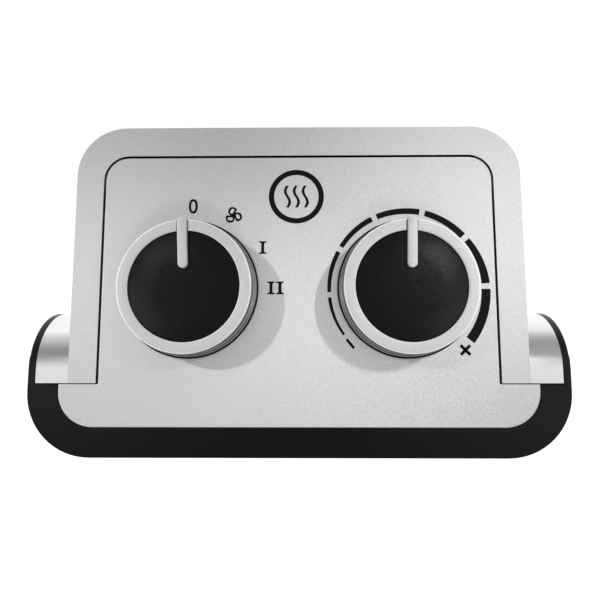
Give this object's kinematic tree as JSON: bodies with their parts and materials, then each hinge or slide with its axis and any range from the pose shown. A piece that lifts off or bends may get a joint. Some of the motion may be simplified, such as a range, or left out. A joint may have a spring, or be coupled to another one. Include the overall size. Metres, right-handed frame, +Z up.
{
  "type": "ceramic fan heater",
  "caption": "Upright ceramic fan heater with a silver rear casing, a black front bezel, a flush top control panel and round selector and thermostat knobs.",
  "frame": {"origin": "on the floor below the middle of the casing's bounding box", "axes": "+Z up, -Y towards the front with the outlet grille, +X to the right as seen from the front"},
  "size_m": [0.1766, 0.1104, 0.25],
  "materials": {
    "silver_shell": "satin silver paint with a fine metallic fleck",
    "black_shell": "satin black moulding",
    "knob_silver": "satin silver paint with a bright turned edge",
    "knob_black": "fine matt black",
    "outlet_black": "heat-resistant black moulding",
    "guard_wire": "plated wire",
    "base_black": "grained black moulding",
    "foot_rubber": "matt rubber",
    "filter_foam": "open nylon mesh",
    "screw_steel": "zinc-plated",
    "shaft_steel": "turned steel",
    "switch_black": "moulded phenolic",
    "cam_white": "natural nylon",
    "sheet_steel": "galvanised sheet",
    "bimetal": "rolled strip",
    "shroud_black": "glass-filled nylon",
    "element_ivory": "heat-resistant moulding",
    "fin_aluminium": "mill finish",
    "stone_ceramic": "fired dark ceramic",
    "brass_strip": "rolled strip",
    "cutout_black": "moulded phenolic",
    "fuse_ceramic": "glazed tube",
    "motor_steel": "plated can",
    "magnet_grey": "ferrite",
    "bush_bronze": "sintered bronze",
    "rotor_copper": "laminations and copper windings",
    "impeller_grey": "grey nylon",
    "mica": "mica board",
    "terminal_white": "steatite",
    "gland_black": "moulded bush",
    "case_white": "moulded nylon",
    "plunger_red": "moulded acetal",
    "spring_steel": "spring wire"
  },
  "bodies": {
    "casing": {"rear_housing": "silver_shell", "control_panel": "silver_shell", "front_bezel": "black_shell", "side_cap_left": "black_shell", "side_cap_right": "black_shell", "outlet_grille": "outlet_black", "guard_mesh": "guard_wire", "base_plate": "base_black", "rubber_feet": "foot_rubber", "intake_grille": "outlet_black", "dust_filter": "filter_foam", "filter_frame": "outlet_black", "grip_recess": "base_black", "housing_screws": "screw_steel", "base_screws": "screw_steel", "rotary_switch": "switch_black", "thermostat_body": "sheet_steel", "bimetal_blade": "bimetal", "bush_nuts": "screw_steel", "fan_shroud": "shroud_black", "heat_duct": "sheet_steel", "element_frame": "element_ivory", "heater_fins": "fin_aluminium", "ptc_stones": "stone_ceramic", "electrode_strips": "brass_strip", "thermal_cutout": "cutout_black", "thermal_fuse": "fuse_ceramic", "motor_bracket": "shroud_black", "motor_can": "motor_steel", "motor_magnets": "magnet_grey", "motor_bushes": "bush_bronze", "motor_screws": "screw_steel", "control_baffle": "mica", "terminal_block": "terminal_white", "terminal_clamps": "brass_strip", "cord_gland": "gland_black", "tip_switch_case": "case_white", "tip_spring": "spring_steel", "micro_switch": "switch_black"},
    "selector": {"selector_knob": "knob_silver", "selector_inlay": "knob_black", "selector_pointer": "knob_silver", "selector_shaft": "shaft_steel", "switch_cam": "cam_white"},
    "thermostat_dial": {"thermostat_knob": "knob_silver", "thermostat_inlay": "knob_black", "thermostat_pointer": "knob_silver", "thermostat_shaft": "shaft_steel"},
    "fan_rotor": {"fan_impeller": "impeller_grey", "motor_shaft": "shaft_steel", "motor_rotor": "rotor_copper"},
    "tip_over_plunger": {"tip_plunger": "plunger_red"}
  },
  "joints": [
    {"name": "selector_turn", "type": "hinge", "parent": "casing", "child": "selector", "pos_m": [-0.03595, -0.0006, 0.241], "axis": [0, 0, 1], "range_deg": [-90, 0]},
    {"name": "thermostat_turn", "type": "hinge", "parent": "casing", "child": "thermostat_dial", "pos_m": [0.03595, -0.0006, 0.241], "axis": [0, 0, 1], "range_deg": [-133, 133]},
    {"name": "fan_spin", "type": "hinge", "parent": "casing", "child": "fan_rotor", "pos_m": [0, 0, 0.112], "axis": [0, 1, 0], "continuous": true},
    {"name": "tip_plunger_slide", "type": "slide", "parent": "casing", "child": "tip_over_plunger", "axis": [0, 0, 1], "range_m": [-0.005, 0], "stiffness_N_per_m": 60, "springref_m": -0.009, "deforming": ["tip_spring"]}
  ]
}
